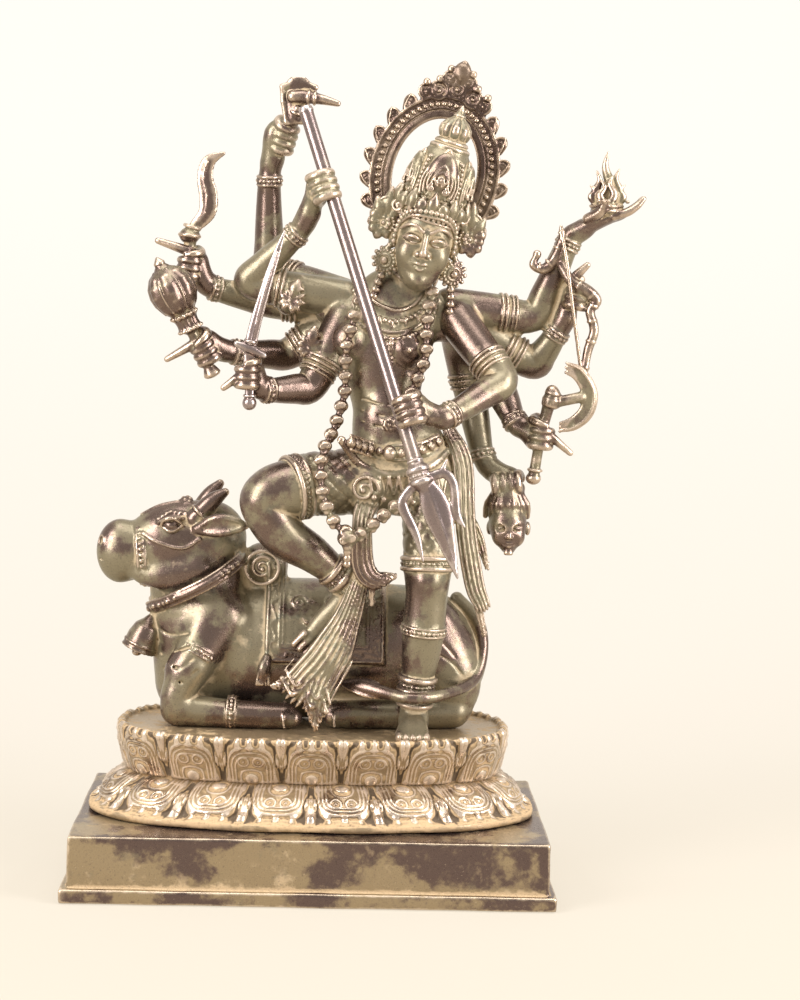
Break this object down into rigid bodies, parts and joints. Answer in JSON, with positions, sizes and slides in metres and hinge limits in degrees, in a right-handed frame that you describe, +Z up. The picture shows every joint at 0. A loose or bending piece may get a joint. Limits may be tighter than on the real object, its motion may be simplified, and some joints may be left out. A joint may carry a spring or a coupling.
{
  "type": "kali idol",
  "caption": "Patinated bronze figure of a many-armed goddess with weapons in the hands, one foot on a resting bull, on an oval lotus pedestal and a plinth.",
  "frame": {"origin": "centre of the plinth's underside", "axes": "+Z up, +X to the viewer's right, -Y to the front"},
  "size_m": [0.4646, 0.2506, 0.6841],
  "materials": {
    "plinth_bronze": "bronze with a mottled tan and purple-brown patina, dull and dusty",
    "pedestal_bronze": "bronze with a tan, dusty patina, darker in the carved lines",
    "bull_bronze": "bronze with an olive and brown patina, half polished on the high places",
    "figure_bronze": "bronze with an olive-grey and dark brown patina, ochre in the recesses, half polished",
    "aureole_bronze": "bronze with a dark brown patina, worn lighter on the raised lines",
    "weapon_bronze": "smooth filed bronze with a thin brown patina"
  },
  "bodies": {
    "root": {"plinth": "plinth_bronze", "lotus_pedestal": "pedestal_bronze", "bull": "bull_bronze", "goddess": "figure_bronze", "aureole": "aureole_bronze", "trident": "weapon_bronze", "straight_sword": "weapon_bronze"}
  },
  "joints": []
}
